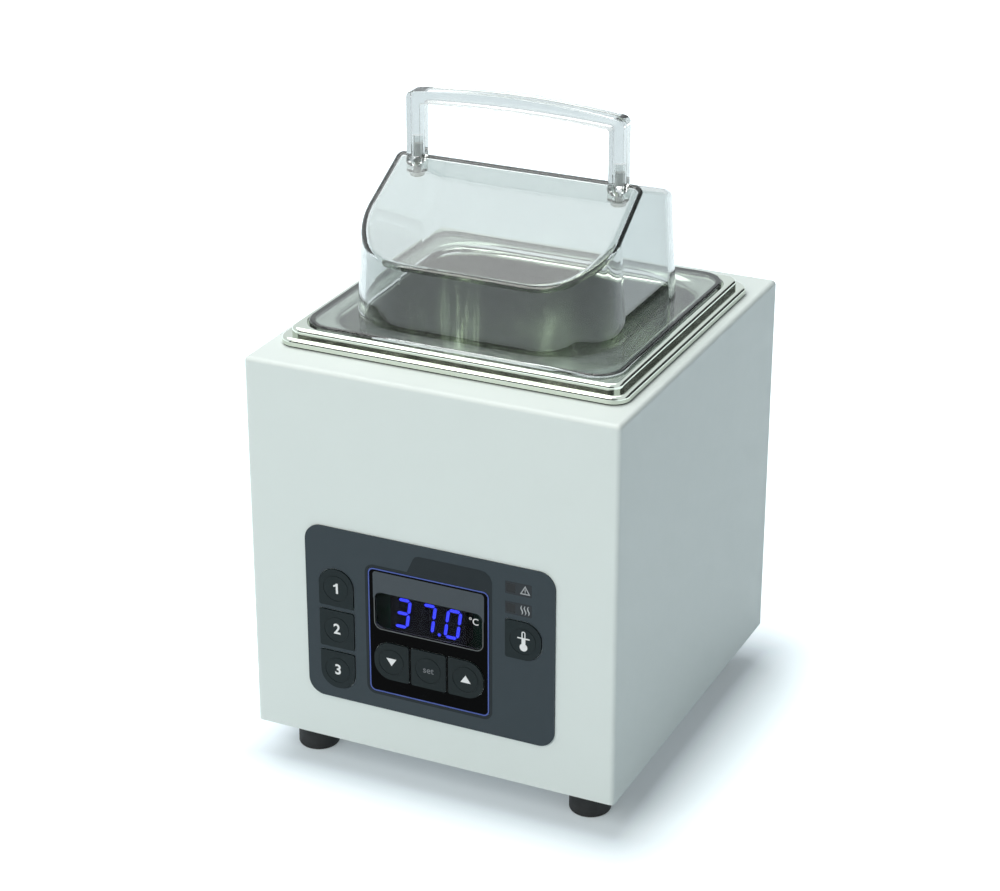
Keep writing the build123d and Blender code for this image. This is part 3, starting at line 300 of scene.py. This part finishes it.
# Tank: one stainless pressing. The rim and ledge are polished bright, and the drawn walls and
# floor of the pan keep a faint grain from the press. A dark gasket seals it to the case.
polished_steel = finish("polished_steel", (0.67, 0.71, 0.64), (0.59, 0.635, 0.555),
                        gloss=(0.08, 0.16), scale=260.0, relief=0.000002, stretch=(1.0, 1.0, 6.0),
                        Metallic=1.0)
dress(polished_steel, "tank")
gasket_rubber = finish("gasket_rubber", (0.02, 0.021, 0.022), (0.03, 0.031, 0.032),
                       gloss=(0.5, 0.7), scale=1200.0, relief=0.00003)
dress(gasket_rubber, "rim_gasket")

# Heater stack under the tank: orange silicone pad, its aluminium clamp plate, the cut-out and
# the probe in its bent clip, inside a sleeve of pale closed-cell foam.
pad_silicone = finish("pad_silicone", (0.42, 0.10, 0.04), (0.34, 0.07, 0.03), gloss=(0.45, 0.65),
                      scale=900.0, relief=0.00006)
dress(pad_silicone, "heater_pad")
mill_aluminium = finish("mill_aluminium", (0.74, 0.75, 0.76), (0.66, 0.67, 0.69),
                        gloss=(0.28, 0.42), scale=500.0, relief=0.00001, stretch=(0.1, 1.0, 1.0),
                        Metallic=1.0)
dress(mill_aluminium, "heater_clamp_plate")
drawn_steel = finish("drawn_steel", (0.60, 0.60, 0.58), (0.50, 0.50, 0.49), gloss=(0.22, 0.34),
                     scale=800.0, relief=0.00001, stretch=(0.1, 1.0, 1.0), Metallic=1.0)
dress(drawn_steel, "temperature_probe", "probe_clip")
sleeve_foam = finish("sleeve_foam", (0.66, 0.65, 0.58), (0.54, 0.53, 0.46), gloss=(0.85, 0.95),
                     scale=700.0, relief=0.0003)
dress(sleeve_foam, "insulation_jacket")
black_moulding = finish("black_moulding", (0.018, 0.018, 0.020), (0.026, 0.026, 0.028),
                        gloss=(0.35, 0.55), scale=1600.0, relief=0.00004)
dress(black_moulding, "overheat_cutout")

# Front panel: a slate-grey printed film over the sheet, and a gloss black screen set in it.
# Its signs are thin prints that stand a hair proud, so that they never share a face. From here on,
# sizes across and up the panel are in millimetres.
panel_film = finish("panel_film", (0.040, 0.054, 0.063), (0.037, 0.050, 0.059), gloss=(0.42, 0.52),
                    scale=2200.0, relief=0.000015, Specular_IOR_Level=0.15)
dress(panel_film, "panel_overlay")
screen_gloss = finish("screen_gloss", (0.0012, 0.0012, 0.0014), (0.0018, 0.0018, 0.0020),
                      gloss=(0.08, 0.14), scale=400.0, relief=0.000002, Specular_IOR_Level=0.02)
dress(screen_gloss, "screen_panel")
print_skin, print_gap = 0.04, 0.03


def corners(name):
    """The low and high corners of a piece's box, in millimetres."""
    return (corner * 1000 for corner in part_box(name))


def bend(x, z, r, start, end):
    """Points along an arc on the panel, about x and z, from one angle to another in degrees."""
    turns = [math.radians(start + (end - start) * step / 8) for step in range(9)]
    return [(x + r * math.cos(turn), z + r * math.sin(turn)) for turn in turns]


def rounded(x0, x1, z0, z1, radii):
    """A rounded rectangle on the panel. Its radii run top left, top right, low right, low left."""
    top_left, top_right, low_right, low_left = radii
    return (bend(x0 + low_left, z0 + low_left, low_left, 180, 270)
            + bend(x1 - low_right, z0 + low_right, low_right, 270, 360)
            + bend(x1 - top_right, z1 - top_right, top_right, 0, 90)
            + bend(x0 + top_left, z1 - top_left, top_left, 90, 180))


def grown(low, high, by, radius):
    """The rounded outline of a box on the panel, grown all round, or shrunk where by is negative."""
    return rounded(low.x - by, high.x + by, low.z - by, high.z + by, (radius,) * 4)


def disc(x, z, r, steps=40):
    """The outline of a round spot on the panel."""
    turns = [math.tau * step / steps for step in range(steps)]
    return [(x + r * math.cos(turn), z + r * math.sin(turn)) for turn in turns]


def drawn(name, outlines):
    """A flat drawing of these outlines. An inner outline is a hole."""
    drawing = bpy.data.curves.new(name, "CURVE")
    drawing.dimensions = "2D"
    drawing.fill_mode = "BOTH"
    drawing.extrude = print_skin / 2 / 1000
    for outline in outlines:
        line = drawing.splines.new("POLY")
        line.points.add(len(outline) - 1)
        for point, (x, z) in zip(line.points, outline):
            point.co = (x / 1000, z / 1000, 0.0, 1.0)
        line.use_cyclic_u = True
    flat = bpy.data.objects.new(name, drawing)
    scene.collection.objects.link(flat)
    return flat


def moved(outline, x, z):
    """An outline that was drawn about its own middle, set about x and z."""
    return [(x + across, z + up) for across, up in outline]


def as_mesh(shape):
    """The plain mesh of a drawing, or of what a modifier makes. The object that made it goes."""
    bpy.context.view_layer.update()
    mesh = bpy.data.meshes.new_from_object(shape.evaluated_get(bpy.context.evaluated_depsgraph_get()))
    bpy.data.objects.remove(shape)
    return mesh


def laid_on(name, mesh, body, y, x=0.0, z=0.0):
    """Stands a flat mesh up on the front, y being its depth there, and hands it to its body."""
    place = Matrix.Translation((x / 1000, y / 1000, z / 1000))
    mesh.transform(place @ Matrix.Rotation(math.pi / 2, 4, "X"))
    mesh.name = name
    piece = bpy.data.objects.new(name, mesh)
    scene.collection.objects.link(piece)
    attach(piece, body)


def inked(mesh, material):
    """The same mesh with this ink as its only material."""
    mesh.materials.clear()
    mesh.materials.append(material)
    return mesh


def printed(name, outlines, body, material, y):
    """A print with these outlines."""
    laid_on(name, inked(as_mesh(drawn(name, outlines)), material), body, y)


def lettered(name, words, x, z, size, body, material, y, weight=0.0):
    """A word or figure centred at x and z. Its strokes grow by the weight."""
    drawing = bpy.data.curves.new(name, "FONT")
    drawing.body = words
    drawing.size = size / 1000
    drawing.align_x = "CENTER"
    drawing.align_y = "CENTER"
    drawing.extrude = print_skin / 2 / 1000
    drawing.offset = weight / 1000
    flat = bpy.data.objects.new(name, drawing)
    scene.collection.objects.link(flat)
    laid_on(name, inked(as_mesh(flat), material), body, y, x, z)


film_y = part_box("panel_overlay")[0].y * 1000 - print_gap
white_ink = finish("white_ink", (0.80, 0.82, 0.82), (0.74, 0.76, 0.76), gloss=(0.45, 0.55),
                   scale=2000.0, relief=0.000005)
blue_ink = finish("blue_ink", (0.045, 0.085, 0.36), (0.040, 0.075, 0.32), gloss=(0.35, 0.45),
                  scale=2000.0, relief=0.000005)
dark_ink = finish("dark_ink", (0.012, 0.016, 0.020), (0.015, 0.020, 0.024), gloss=(0.35, 0.45),
                  scale=2000.0, relief=0.000005, Specular_IOR_Level=0.25)
shade_ink = finish("shade_ink", (0.014, 0.020, 0.024), (0.012, 0.018, 0.021), gloss=(0.40, 0.50),
                   scale=2000.0, relief=0.000005, Specular_IOR_Level=0.15)
line_ink = finish("line_ink", (0.115, 0.125, 0.125), (0.105, 0.115, 0.115), gloss=(0.40, 0.50),
                  scale=2000.0, relief=0.000005, Specular_IOR_Level=0.15)
grey_ink = finish("grey_ink", (0.048, 0.060, 0.070), (0.044, 0.055, 0.065), gloss=(0.35, 0.45),
                  scale=2000.0, relief=0.000005, Specular_IOR_Level=0.25)
screen_low, screen_high = corners("screen_panel")
screen_top = screen_high.z
printed("screen_outline", [
    grown(screen_low, screen_high, -0.1, 2.9),
    grown(screen_low, screen_high, -0.7, 2.4),
], "case", blue_ink, film_y)
printed("screen_shade", [
    grown(screen_low, screen_high, 1.5, 4.4),
    grown(screen_low, screen_high, 0.1, 3.0),
], "case", shade_ink, film_y)
window_low, window_high = corners("display_window")
wx0, wx1, wz0, wz1 = window_low.x, window_high.x, window_low.z, window_high.z
window_corner = 3.4
side_x0, side_x1 = wx0 + window_corner, wx1 - window_corner
side_z0, side_z1 = wz0 + window_corner, wz1 - window_corner
strip_reach, strip_corner, strip_drop = 0.8, 1.6, 3.2
printed("window_strip", [
    bend(wx1 + strip_reach - strip_corner, screen_top - strip_drop, strip_corner, 0, 90)
    + bend(wx0 - strip_reach + strip_corner, screen_top - strip_drop, strip_corner, 90, 180)
    + [(wx0 - strip_reach, side_z1)]
    + bend(side_x0, side_z1, window_corner, 180, 90)
    + bend(side_x1, side_z1, window_corner, 90, 0)
    + [(wx1 + strip_reach, side_z1)],
], "case", grey_ink, film_y)
line_width = 0.5
printed("window_line", [
    [(wx0 - line_width, side_z1)]
    + bend(side_x0, side_z0, window_corner + line_width, 180, 270)
    + bend(side_x1, side_z0, window_corner + line_width, 270, 360)
    + [(wx1 + line_width, side_z1), (wx1, side_z1)]
    + bend(side_x1, side_z0, window_corner, 360, 270)
    + bend(side_x0, side_z0, window_corner, 270, 180)
    + [(wx0, side_z1)],
], "case", line_ink, film_y)
tab_step = 0.02
tab_outline = [
    (-10.4, 1.6), (-7.2, 8.6), (-6.2, 9.8), (-4.8, 10.3), (26.0, 10.3), (28.6, 9.8),
    (30.8, 8.0), (31.9, 5.4), (31.9, -2.0), (31.2, -0.6), (30.2, 0.6), (28.9, 1.5),
]
printed("screen_tab", [moved(tab_outline, 0.0, screen_top)],
        "case", shade_ink, film_y - tab_step)

# Display: the blue figures glow behind a smoked window. The bars that are out stay nearly black.
module_face = finish("module_face", (0.016, 0.016, 0.017), (0.019, 0.019, 0.020), gloss=(0.5, 0.7),
                     scale=1500.0, relief=0.00001, Specular_IOR_Level=0.2)
dress(module_face, "display_module")
bar_out = finish("bar_out", (0.016, 0.017, 0.021), (0.014, 0.015, 0.018), gloss=(0.5, 0.6),
                 scale=1500.0, relief=0.00001)
dress(bar_out, "display_bars_dark")
bar_glow = finish("bar_glow", (0.05, 0.08, 0.60), (0.04, 0.07, 0.55), gloss=(0.4, 0.5),
                  scale=1500.0, relief=0.00001, Emission_Color=(0.045, 0.060, 1.0, 1.0),
                  Emission_Strength=3.6)
dress(bar_glow, "display_bars_lit")


def clear_stuff(name, tint, gloss, ior, level, clarity=1.0):
    """Clear plastic: light from the lamps passes it, so that what is under it isn't in the dark."""
    cloudy_share, lamp_share = 0.985, 0.95
    mat = bpy.data.materials.new(name)
    mat.use_nodes = True
    nodes, link = mat.node_tree.nodes, mat.node_tree.links.new
    shader = nodes["Principled BSDF"]
    shader.inputs["Transmission Weight"].default_value = clarity
    shader.inputs["IOR"].default_value = ior
    shader.inputs["Specular IOR Level"].default_value = level
    haze = nodes.new("ShaderNodeGroup")
    haze.node_tree = surface_grain
    haze.inputs["Tone"].default_value = (*tint, 1.0)
    haze.inputs["Shade"].default_value = (*(cloudy_share * part for part in tint), 1.0)
    haze.inputs["Smooth"].default_value = gloss[0]
    haze.inputs["Rough"].default_value = gloss[1]
    link(haze.outputs["Color"], shader.inputs["Base Color"])
    link(haze.outputs["Roughness"], shader.inputs["Roughness"])
    open_way = nodes.new("ShaderNodeBsdfTransparent")
    open_way.inputs["Color"].default_value = (*(lamp_share * part for part in tint), 1.0)
    path = nodes.new("ShaderNodeLightPath")
    choice = nodes.new("ShaderNodeMixShader")
    link(path.outputs["Is Shadow Ray"], choice.inputs["Fac"])
    link(shader.outputs[0], choice.inputs[1])
    link(open_way.outputs[0], choice.inputs[2])
    link(choice.outputs[0], nodes["Material Output"].inputs["Surface"])
    return mat


smoked_window = clear_stuff("smoked_window", (0.30, 0.30, 0.36), gloss=(0.02, 0.05), ior=1.12,
                            level=0.1)
dress(smoked_window, "display_window")
unit_x, unit_drop, unit_size = 22.8, 4.4, 4.6
lettered("degree_letter", "°C", unit_x, wz1 - unit_drop, unit_size, "case", white_ink,
         window_low.y - print_gap, weight=0.02)

# Keys: domed film pads over tactile switches. The three below the figures are black, and the
# others slate. Each carries its own sign, which travels with it.
key_slate = finish("key_slate", (0.0075, 0.0140, 0.0155), (0.0065, 0.0125, 0.0140),
                   gloss=(0.40, 0.50), scale=2200.0, relief=0.00002, Specular_IOR_Level=0.15)
key_jet = finish("key_jet", (0.0060, 0.0115, 0.0125), (0.0052, 0.0100, 0.0110), gloss=(0.40, 0.50),
                 scale=2200.0, relief=0.00002, Specular_IOR_Level=0.15)
dress(key_slate, "key_preset_1", "key_preset_2", "key_preset_3", "key_sensor")
dress(key_jet, "key_down", "key_set", "key_up")


def key_middle(name):
    """The middle of a key across and up, and the place of a print on its face, in millimetres."""
    low, high = corners(name)
    return (low.x + high.x) / 2, (low.z + high.z) / 2, low.y - print_gap


figure_size, figure_weight = 7.2, 0.16
flagged_one = [
    (0.0, -2.6), (1.1, -2.6), (1.1, 2.6), (0.25, 2.6),
    (-0.35, 1.9), (-1.3, 1.45), (-1.3, 0.6), (0.0, 1.05),
]
kx, kz, face_y = key_middle("key_preset_1")
printed("figure_1", [moved(flagged_one, kx, kz)], "key_preset_1", white_ink, face_y)
for figure in ("2", "3"):
    key = "key_preset_" + figure
    kx, kz, face_y = key_middle(key)
    lettered("figure_" + figure, figure, kx, kz, figure_size, key, white_ink, face_y,
             weight=figure_weight)
arrow_half, arrow_foot, arrow_tip = 2.6, 1.8, 2.0
for key, up in (("key_down", -1), ("key_up", 1)):
    kx, kz, face_y = key_middle(key)
    arrow = [(-arrow_half, -arrow_foot * up), (arrow_half, -arrow_foot * up), (0.0, arrow_tip * up)]
    printed(key + "_arrow", [moved(arrow, kx, kz)], key, white_ink, face_y)
kx, kz, face_y = key_middle("key_set")
dim_ink = finish("dim_ink", (0.15, 0.16, 0.17), (0.12, 0.13, 0.14), gloss=(0.45, 0.55),
                 scale=2000.0, relief=0.000005)
word_size, word_weight = 4.6, 0.03
lettered("set_word", "set", kx, kz, word_size, "key_set", dim_ink, face_y,
         weight=word_weight)
kx, kz, face_y = key_middle("key_sensor")
kx += 0.2
sharp = 0.1
bulb_drop, bulb_radius = 3.0, 1.9
tube_half, tube_low, tube_top, tube_corner = 0.95, 2.0, 5.0, 0.9
bore_half, bore_low, bore_top, bore_corner = 0.45, 1.2, 4.5, 0.4
mark_half, mark_low, mark_top = 3.0, 1.2, 1.8
stem_step, mark_step = 0.03, 0.05
printed("thermometer_sign", [disc(kx, kz - bulb_drop, bulb_radius)],
        "key_sensor", white_ink, face_y)
printed("thermometer_stem", [
    rounded(kx - tube_half, kx + tube_half, kz - tube_low, kz + tube_top,
            (tube_corner, tube_corner, sharp, sharp)),
    rounded(kx - bore_half, kx + bore_half, kz + bore_low, kz + bore_top,
            (bore_corner, bore_corner, sharp, sharp)),
], "key_sensor", white_ink, face_y - stem_step)
printed("thermometer_mark", [
    rounded(kx - mark_half, kx + mark_half, kz + mark_low, kz + mark_top, (sharp,) * 4),
], "key_sensor", white_ink, face_y - mark_step)

# Indicator lamps: smoked light guides in dark boxes, each with a pale sign beside it.
smoked_guide = finish("smoked_guide", (0.004, 0.005, 0.006), (0.006, 0.007, 0.008),
                      gloss=(0.15, 0.25), scale=800.0, relief=0.00001, Specular_IOR_Level=0.25)
dress(smoked_guide, "alarm_lamp", "heating_lamp")
sign_ink = finish("sign_ink", (0.42, 0.44, 0.45), (0.36, 0.38, 0.39), gloss=(0.45, 0.55),
                  scale=2000.0, relief=0.000005)
sign_step = 0.04
sign_y = film_y - sign_step
box_left, box_right, box_half, box_corner = 2.8, 10.2, 3.1, 0.5
lamp_gap = 0.05
sign_shift = 7.0


def lamp_box(lamp):
    """Prints the dark box round a lamp, and gives the middle of the sign beside it."""
    low, high = corners(lamp)
    lx, lz = (low.x + high.x) / 2, (low.z + high.z) / 2
    printed(lamp + "_box", [
        rounded(lx - box_left, lx + box_right, lz - box_half, lz + box_half, (box_corner,) * 4),
        grown(low, high, lamp_gap, sharp),
    ], "case", dark_ink, film_y)
    return lx + sign_shift, lz


warning_edge = [(-2.5, -2.0), (2.5, -2.0), (0.0, 2.3)]
warning_hole = [(-1.7, -1.55), (1.7, -1.55), (0.0, 1.45)]
stroke_half, stroke_low, stroke_top = 0.22, 0.75, 0.7
dot_drop, dot_radius = 1.15, 0.24
ix, iz = lamp_box("alarm_lamp")
printed("alarm_sign", [moved(warning_edge, ix, iz), moved(warning_hole, ix, iz)],
        "case", sign_ink, sign_y)
printed("alarm_stroke", [
    rounded(ix - stroke_half, ix + stroke_half, iz - stroke_low, iz + stroke_top, (sharp,) * 4),
], "case", sign_ink, sign_y)
printed("alarm_dot", [disc(ix, iz - dot_drop, dot_radius, 16)], "case", sign_ink, sign_y)
ix, iz = lamp_box("heating_lamp")

# Heat sign: three wavy strokes, one stroke repeated along a line.
wave_height, wave_sway, wave_pitch = 4.4, 0.38, 1.6
thin_half, swell = 0.12, 0.20
left_edge, right_edge = [], []
for step in range(17):
    up = step / 16
    sway = wave_sway * math.sin(math.tau * up)
    half = thin_half + swell * math.sin(math.pi * up)
    left_edge.append((sway - half, -wave_height / 2 + wave_height * up))
    right_edge.append((sway + half, -wave_height / 2 + wave_height * up))
wave = drawn("heat_stroke", [left_edge + right_edge[::-1]])

repeat = bpy.data.node_groups.new("repeated_along_a_line", "GeometryNodeTree")
for title, kind in (
    ("Piece", "NodeSocketObject"),
    ("Count", "NodeSocketInt"),
    ("Start", "NodeSocketVector"),
    ("Step", "NodeSocketVector"),
    ("Finish", "NodeSocketMaterial"),
):
    repeat.interface.new_socket(title, in_out="INPUT", socket_type=kind)
repeat.interface.new_socket("Geometry", in_out="OUTPUT", socket_type="NodeSocketGeometry")
given = repeat.nodes.new("NodeGroupInput")
out = repeat.nodes.new("NodeGroupOutput")
places = repeat.nodes.new("GeometryNodeMeshLine")
source = repeat.nodes.new("GeometryNodeObjectInfo")
copies = repeat.nodes.new("GeometryNodeInstanceOnPoints")
real = repeat.nodes.new("GeometryNodeRealizeInstances")
painted = repeat.nodes.new("GeometryNodeSetMaterial")
for start, end in (
    (given.outputs["Count"], places.inputs["Count"]),
    (given.outputs["Start"], places.inputs["Start Location"]),
    (given.outputs["Step"], places.inputs["Offset"]),
    (given.outputs["Piece"], source.inputs["Object"]),
    (places.outputs["Mesh"], copies.inputs["Points"]),
    (source.outputs["Geometry"], copies.inputs["Instance"]),
    (copies.outputs["Instances"], real.inputs["Geometry"]),
    (real.outputs["Geometry"], painted.inputs["Geometry"]),
    (given.outputs["Finish"], painted.inputs["Material"]),
    (painted.outputs["Geometry"], out.inputs["Geometry"]),
):
    repeat.links.new(start, end)


def repeated(name, piece, count, start, step, material):
    """A mesh with count copies of a piece in a line, in the piece's own flat drawing."""
    carrier = bpy.data.objects.new(name, bpy.data.meshes.new(name))
    scene.collection.objects.link(carrier)
    maker = carrier.modifiers.new("repeat", "NODES")
    maker.node_group = repeat
    values = {"Piece": piece, "Count": count, "Start": start, "Step": step, "Finish": material}
    for item in repeat.interface.items_tree:
        if item.in_out == "INPUT":
            maker[item.identifier] = values[item.name]
    return as_mesh(carrier)


waves = repeated("heat_sign", wave, 3, ((ix - wave_pitch) / 1000, iz / 1000, 0.0),
                 (wave_pitch / 1000, 0.0, 0.0), sign_ink)
bpy.data.objects.remove(wave)
laid_on("heat_sign", waves, "case", sign_y)

# Lid and handle: clear moulded plastic, water-white with a cool cast at its edges. The two
# stainless screws come up through the bosses under the ridge.
clear_lid = clear_stuff("clear_lid", (0.755, 0.785, 0.770), gloss=(0.01, 0.03), ior=1.45, level=0.5,
                        clarity=0.982)
dress(clear_lid, "lid")
clear_handle = clear_stuff("clear_handle", (0.725, 0.745, 0.732), gloss=(0.01, 0.03), ior=1.40,
                           level=0.5)
dress(clear_handle, "lid_handle")
handle_steel = finish("handle_steel", (0.55, 0.55, 0.54), (0.46, 0.46, 0.45), gloss=(0.25, 0.40),
                      scale=900.0, relief=0.00001, Metallic=1.0)
dress(handle_steel, "handle_screws")

# Rear fittings: a black mains inlet with plated blades and a fuse drawer that slides out, and a
# rocker switch. They snap into the rear cover.
dress(black_moulding, "mains_inlet", "power_switch")
drawer_black = finish("drawer_black", (0.024, 0.024, 0.026), (0.030, 0.030, 0.032),
                      gloss=(0.30, 0.45), scale=1500.0, relief=0.00003)
dress(drawer_black, "fuse_drawer")
plated_brass = finish("plated_brass", (0.62, 0.60, 0.55), (0.54, 0.52, 0.47), gloss=(0.20, 0.32),
                      scale=900.0, relief=0.00001, Metallic=1.0)
dress(plated_brass, "inlet_pins")
rocker_black = finish("rocker_black", (0.012, 0.012, 0.013), (0.016, 0.016, 0.017),
                      gloss=(0.16, 0.26), scale=900.0, relief=0.00001)
dress(rocker_black, "switch_rocker")
fuse_glass = clear_stuff("fuse_glass", (0.90, 0.92, 0.91), gloss=(0.02, 0.04), ior=1.5, level=0.5)
dress(fuse_glass, "fuse")

# Electronics: two green boards on nylon spacers. One carries the key switches. The other has the
# transformer, the relay that switches the heater, and the terminals of its wires.
solder_mask = finish("solder_mask", (0.015, 0.12, 0.05), (0.012, 0.09, 0.04), gloss=(0.25, 0.40),
                     scale=600.0, relief=0.00003)
dress(solder_mask, "control_board", "power_board")
nylon = finish("nylon", (0.74, 0.73, 0.68), (0.68, 0.67, 0.62), gloss=(0.40, 0.55), scale=1200.0,
               relief=0.00002)
dress(nylon, "board_spacers", "power_board_spacers")
switch_plastic = finish("switch_plastic", (0.03, 0.03, 0.033), (0.04, 0.04, 0.043),
                        gloss=(0.35, 0.50), scale=1200.0, relief=0.00002)
dress(switch_plastic, "key_switches")
potting_resin = finish("potting_resin", (0.03, 0.05, 0.16), (0.025, 0.04, 0.13), gloss=(0.30, 0.50),
                       scale=700.0, relief=0.00005)
dress(potting_resin, "transformer")
relay_case = finish("relay_case", (0.02, 0.02, 0.024), (0.026, 0.026, 0.03), gloss=(0.20, 0.35),
                    scale=1000.0, relief=0.00002)
dress(relay_case, "heater_relay")
terminal_plastic = finish("terminal_plastic", (0.03, 0.22, 0.08), (0.025, 0.19, 0.07),
                          gloss=(0.35, 0.50), scale=1000.0, relief=0.00003)
dress(terminal_plastic, "terminal_block")

# Fasteners: bright zinc-plated steel, turned and pressed, with a slight bluish cast.
zinc_plate = finish("zinc_plate", (0.62, 0.64, 0.67), (0.52, 0.54, 0.58), gloss=(0.22, 0.36),
                    scale=1100.0, relief=0.00002, Metallic=1.0)
dress(zinc_plate, "rim_nuts", "heater_nuts", "board_nuts", "power_board_screws", "base_screws",
      "rear_screws", "foot_screws", "foot_nuts", "earth_nut")
